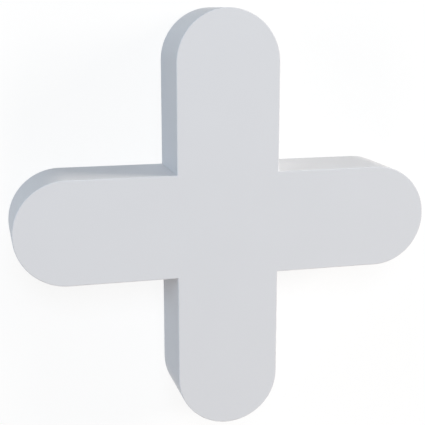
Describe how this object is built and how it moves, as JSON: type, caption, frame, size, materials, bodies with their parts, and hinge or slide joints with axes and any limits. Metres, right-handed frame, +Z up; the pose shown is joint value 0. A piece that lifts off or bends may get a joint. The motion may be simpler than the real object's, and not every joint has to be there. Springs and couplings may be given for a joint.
{
  "type": "tile spacer",
  "caption": "Cross-shaped plastic tile spacer with half-round arm tips; its arms hold tile corners one joint width apart and are pulled out or left under the grout.",
  "frame": {"origin": "centre of the cross, on the plane that the spacer lies on", "axes": "+Z up, out of the upper face; +X along the right arm and +Y along the far arm"},
  "size_m": [0.0254, 0.0254, 0.0044],
  "materials": {
    "spacer_plastic": "satin, as moulded, pale grey"
  },
  "bodies": {
    "root": {"spacer": "spacer_plastic"}
  },
  "joints": []
}
